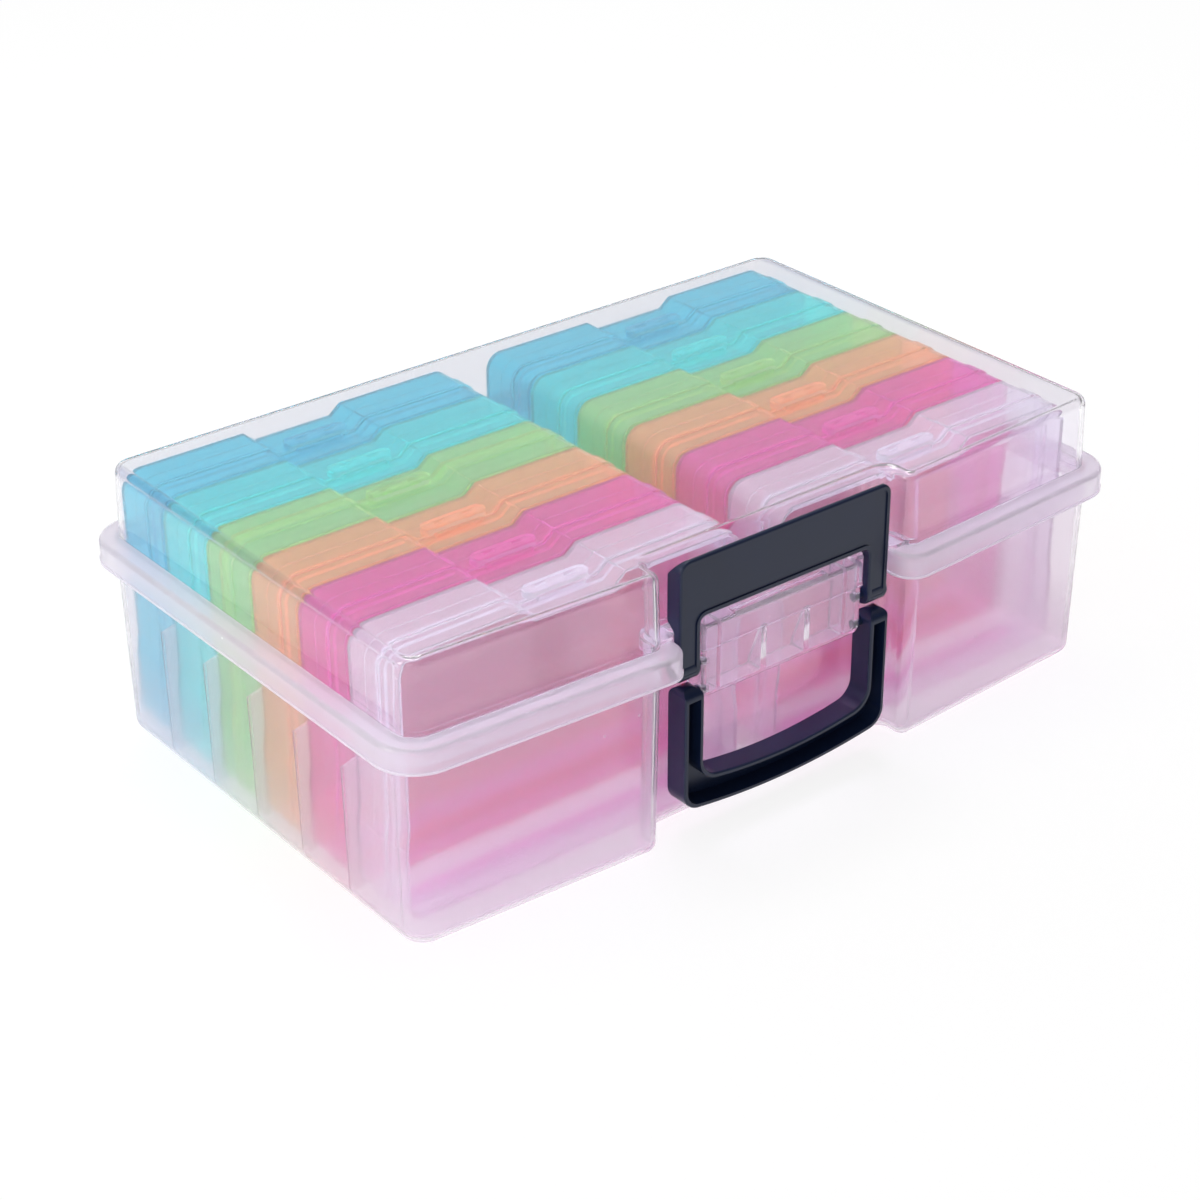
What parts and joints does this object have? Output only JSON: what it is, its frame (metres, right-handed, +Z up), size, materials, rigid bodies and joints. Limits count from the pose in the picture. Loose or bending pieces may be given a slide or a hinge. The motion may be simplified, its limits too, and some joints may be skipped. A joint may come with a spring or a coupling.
{
  "type": "photo keeper case",
  "caption": "Clear carrying case with hinged lid, front latch and folding handle, holding two rows of coloured two-shell photo cases.",
  "frame": {"origin": "centre of the resting face, under the middle of the case", "axes": "+X along the front to the right, +Y from the front to the back, +Z up; the latch and handle face -Y"},
  "size_m": [0.384, 0.2402, 0.1268],
  "materials": {
    "clear_tub": "clear, faintly milky moulded polypropylene with a soft sheen",
    "clear_lid": "clear moulded polypropylene, glossy",
    "dark_plastic": "dark blue-grey moulded polypropylene, semi-gloss",
    "case_lavender": "translucent lavender moulded polypropylene, semi-gloss",
    "case_magenta": "translucent magenta moulded polypropylene, semi-gloss",
    "case_orange": "translucent orange moulded polypropylene, semi-gloss",
    "case_green": "translucent green moulded polypropylene, semi-gloss",
    "case_teal": "translucent teal moulded polypropylene, semi-gloss",
    "case_blue": "translucent blue moulded polypropylene, semi-gloss"
  },
  "bodies": {
    "case": {"tub": "clear_tub", "hinge_pins": "clear_lid", "tray_left_lavender": "case_lavender", "cover_left_lavender": "case_lavender", "tray_left_magenta": "case_magenta", "cover_left_magenta": "case_magenta", "tray_left_orange": "case_orange", "cover_left_orange": "case_orange", "tray_left_green": "case_green", "cover_left_green": "case_green", "tray_left_teal": "case_teal", "cover_left_teal": "case_teal", "tray_left_blue": "case_blue", "cover_left_blue": "case_blue", "tray_right_lavender": "case_lavender", "cover_right_lavender": "case_lavender", "tray_right_magenta": "case_magenta", "cover_right_magenta": "case_magenta", "tray_right_orange": "case_orange", "cover_right_orange": "case_orange", "tray_right_green": "case_green", "cover_right_green": "case_green", "tray_right_teal": "case_teal", "cover_right_teal": "case_teal", "tray_right_blue": "case_blue", "cover_right_blue": "case_blue"},
    "lid": {"lid": "clear_lid"},
    "latch": {"latch": "dark_plastic"},
    "handle": {"handle": "dark_plastic"}
  },
  "joints": [
    {"name": "lid_hinge", "type": "hinge", "parent": "case", "child": "lid", "pos_m": [0, 0.1174, 0.0906], "axis": [-1, 0, 0], "range_deg": [0, 110]},
    {"name": "latch_pivot", "type": "hinge", "parent": "case", "child": "latch", "pos_m": [0, -0.1042, 0.077], "axis": [1, 0, 0], "range_deg": [0, 80]},
    {"name": "handle_pivot", "type": "hinge", "parent": "case", "child": "handle", "pos_m": [0, -0.1044, 0.0642], "axis": [-1, 0, 0], "range_deg": [0, 90]}
  ]
}
